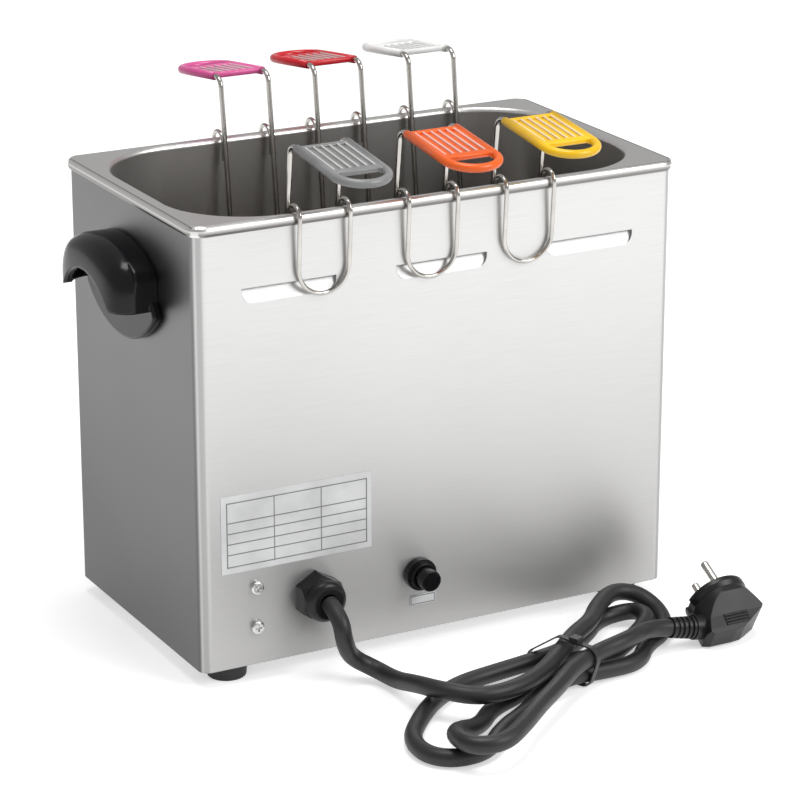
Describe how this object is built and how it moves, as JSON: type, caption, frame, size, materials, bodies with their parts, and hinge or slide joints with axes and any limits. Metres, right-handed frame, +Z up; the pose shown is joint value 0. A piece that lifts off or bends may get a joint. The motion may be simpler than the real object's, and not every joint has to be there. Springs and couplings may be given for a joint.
{
  "type": "egg boiler",
  "caption": "Table-top egg boiler: a brushed steel tank in a rectangular casing, with wire egg baskets on coloured grips hooked over its rim, side handles and a mains cord.",
  "frame": {"origin": "middle of the footprint, on the plane of the feet", "axes": "+X along the long side, +Y to the rear face with the cord and the reset button, +Z up"},
  "size_m": [0.3528, 0.404, 0.3045],
  "materials": {
    "casing_steel": "fine horizontal brushing",
    "tank_steel": "satin, drawn sheet",
    "zinc_steel": "zinc plated",
    "screw_steel": "plain steel, turned",
    "foot_rubber": "moulded",
    "handle_plastic": "glossy, moulded",
    "gland_plastic": "satin, moulded",
    "cord_rubber": "dull",
    "tie_plastic": "moulded nylon",
    "plug_rubber": "moulded",
    "pin_metal": "nickel plated",
    "button_plastic": "glossy",
    "control_plastic": "moulded",
    "copper_tube": "drawn copper tube",
    "knob_plastic": "satin, moulded",
    "dial_metal": "printed scale with plain numbers",
    "rocker_plastic": "glossy",
    "lamp_green": "clear tinted",
    "lamp_amber": "clear tinted",
    "element_steel": "oxidised tube",
    "spreader_aluminium": "cast",
    "terminal_plastic": "moulded",
    "earth_brass": "turned",
    "label_film": "silver film with plain ruled boxes",
    "wire_insulation": "insulated wires",
    "basket_wire": "drawn wire",
    "grip_grey": "dipped coating",
    "grip_orange": "dipped coating",
    "grip_yellow": "dipped coating",
    "grip_pink": "dipped coating",
    "grip_red": "dipped coating",
    "grip_white": "dipped coating"
  },
  "bodies": {
    "boiler": {"outer_casing": "casing_steel", "tank": "tank_steel", "base_plate": "zinc_steel", "base_screws": "screw_steel", "foot_screws": "screw_steel", "handle_screws": "screw_steel", "rear_screws": "screw_steel", "foot_1": "foot_rubber", "foot_2": "foot_rubber", "foot_3": "foot_rubber", "foot_4": "foot_rubber", "handle_left": "handle_plastic", "handle_right": "handle_plastic", "cable_gland_body": "gland_plastic", "cable_gland_nut": "gland_plastic", "gland_locknut": "gland_plastic", "gland_seal": "cord_rubber", "power_cord": "cord_rubber", "cable_tie": "tie_plastic", "plug_body": "plug_rubber", "plug_boot": "plug_rubber", "plug_pins": "pin_metal", "plug_earth_clips": "pin_metal", "reset_collar": "gland_plastic", "safety_thermostat": "control_plastic", "safety_capillary": "copper_tube", "thermostat_body": "control_plastic", "thermostat_capillary": "copper_tube", "dial_plate": "dial_metal", "switch_body": "gland_plastic", "pilot_lamp_power": "lamp_green", "pilot_lamp_heat": "lamp_amber", "heating_element": "element_steel", "heat_spreader": "spreader_aluminium", "terminal_block": "terminal_plastic", "terminal_bracket": "zinc_steel", "earth_stud": "earth_brass", "rating_label": "label_film", "reset_label": "label_film", "wiring_harness": "wire_insulation"},
    "reset": {"reset_button": "button_plastic"},
    "thermostat_control": {"thermostat_knob": "knob_plastic", "thermostat_shaft": "screw_steel"},
    "rocker": {"switch_rocker": "rocker_plastic"},
    "basket_grey": {"basket_frame_grey": "basket_wire", "basket_grip_grey": "grip_grey"},
    "basket_orange": {"basket_frame_orange": "basket_wire", "basket_grip_orange": "grip_orange"},
    "basket_yellow": {"basket_frame_yellow": "basket_wire", "basket_grip_yellow": "grip_yellow"},
    "basket_pink": {"basket_frame_pink": "basket_wire", "basket_grip_pink": "grip_pink"},
    "basket_red": {"basket_frame_red": "basket_wire", "basket_grip_red": "grip_red"},
    "basket_white": {"basket_frame_white": "basket_wire", "basket_grip_white": "grip_white"}
  },
  "joints": [
    {"name": "reset_press", "type": "slide", "parent": "boiler", "child": "reset", "axis": [0, -1, 0], "range_m": [0, 0.0025], "stiffness_N_per_m": 250, "springref_m": -0.002},
    {"name": "thermostat_turn", "type": "hinge", "parent": "boiler", "child": "thermostat_control", "pos_m": [0.07, -0.09, 0.062], "axis": [0, 1, 0], "range_deg": [0, 250]},
    {"name": "switch_tip", "type": "hinge", "parent": "boiler", "child": "rocker", "pos_m": [-0.07, -0.081, 0.062], "axis": [0, 0, 1], "range_deg": [-18, 0]},
    {"name": "lift_grey", "type": "slide", "parent": "boiler", "child": "basket_grey", "axis": [0, 0.1219, 0.9925], "range_m": [0, 0.14]},
    {"name": "lift_orange", "type": "slide", "parent": "boiler", "child": "basket_orange", "axis": [0, 0.1219, 0.9925], "range_m": [0, 0.14]},
    {"name": "lift_yellow", "type": "slide", "parent": "boiler", "child": "basket_yellow", "axis": [0, 0.1219, 0.9925], "range_m": [0, 0.14]},
    {"name": "lift_pink", "type": "slide", "parent": "boiler", "child": "basket_pink", "axis": [0, -0.1219, 0.9925], "range_m": [0, 0.14]},
    {"name": "lift_red", "type": "slide", "parent": "boiler", "child": "basket_red", "axis": [0, -0.1219, 0.9925], "range_m": [0, 0.14]},
    {"name": "lift_white", "type": "slide", "parent": "boiler", "child": "basket_white", "axis": [0, -0.1219, 0.9925], "range_m": [0, 0.14]}
  ]
}
